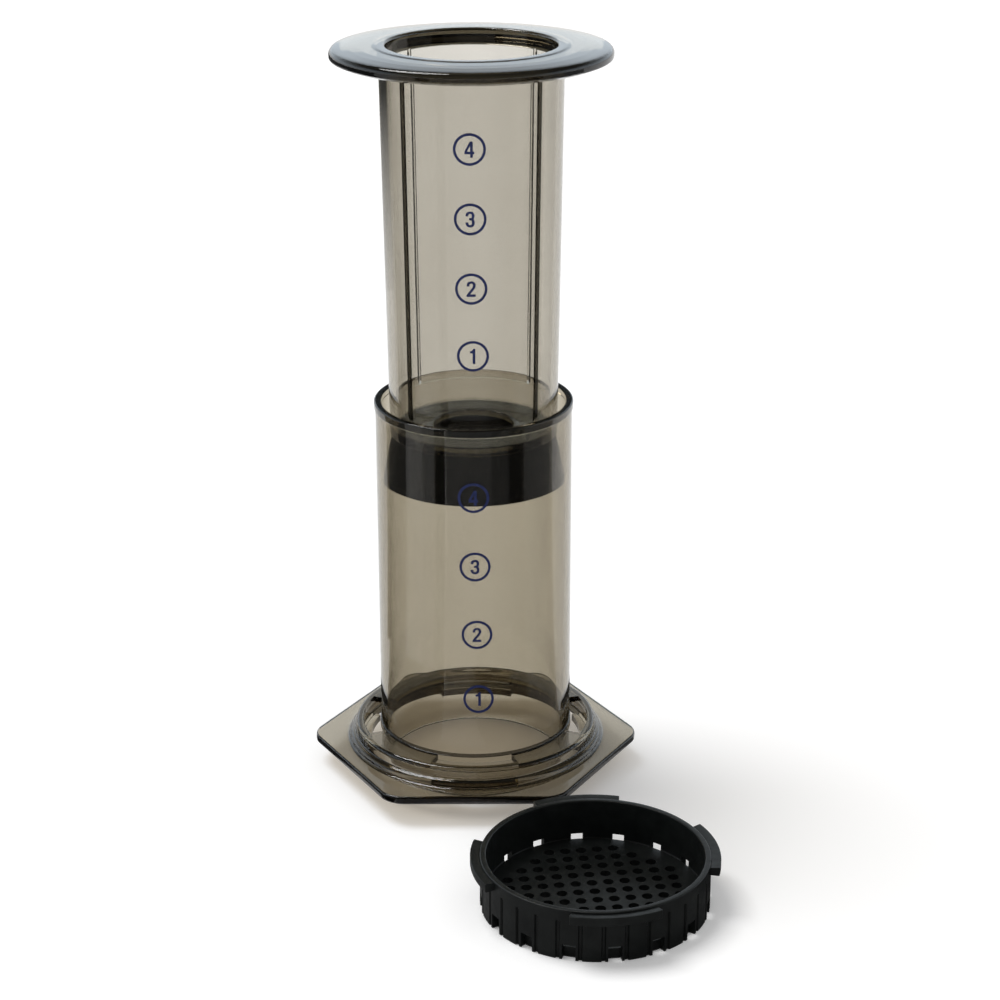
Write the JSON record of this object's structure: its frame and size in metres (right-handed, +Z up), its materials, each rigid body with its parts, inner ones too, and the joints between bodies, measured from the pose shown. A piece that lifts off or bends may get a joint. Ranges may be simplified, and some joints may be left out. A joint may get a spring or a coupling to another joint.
{
  "type": "piston coffee press",
  "caption": "Piston coffee press: clear smoke chamber on a hexagonal flange, hollow plunger with a round hand flange and a rubber seal, and a perforated filter cap set down beside it.",
  "frame": {"origin": "on the table plane, under the middle of the bounding box of the whole set, loose cap included", "axes": "+Z up along the chamber's axis, +X to the right and +Y away from the viewer, with the loose cap on the -Y, +X side"},
  "size_m": [0.131, 0.1844, 0.2471],
  "materials": {
    "smoke_plastic": "glossy transparent plastic with a smoke brown tint",
    "black_rubber": "satin black moulded rubber",
    "black_plastic": "satin black moulded plastic"
  },
  "bodies": {
    "chamber": {"chamber": "smoke_plastic"},
    "plunger": {"plunger": "smoke_plastic", "seal": "black_rubber"},
    "filter_cap": {"filter_cap": "black_plastic"}
  },
  "joints": [
    {"name": "plunger_slide", "type": "slide", "parent": "chamber", "child": "plunger", "axis": [0, 0, 1], "range_m": [-0.104, 0.025]},
    {"name": "filter_cap_lift", "type": "slide", "parent": "chamber", "child": "filter_cap", "axis": [0, 0, 1], "range_m": [0, 0.06]}
  ]
}
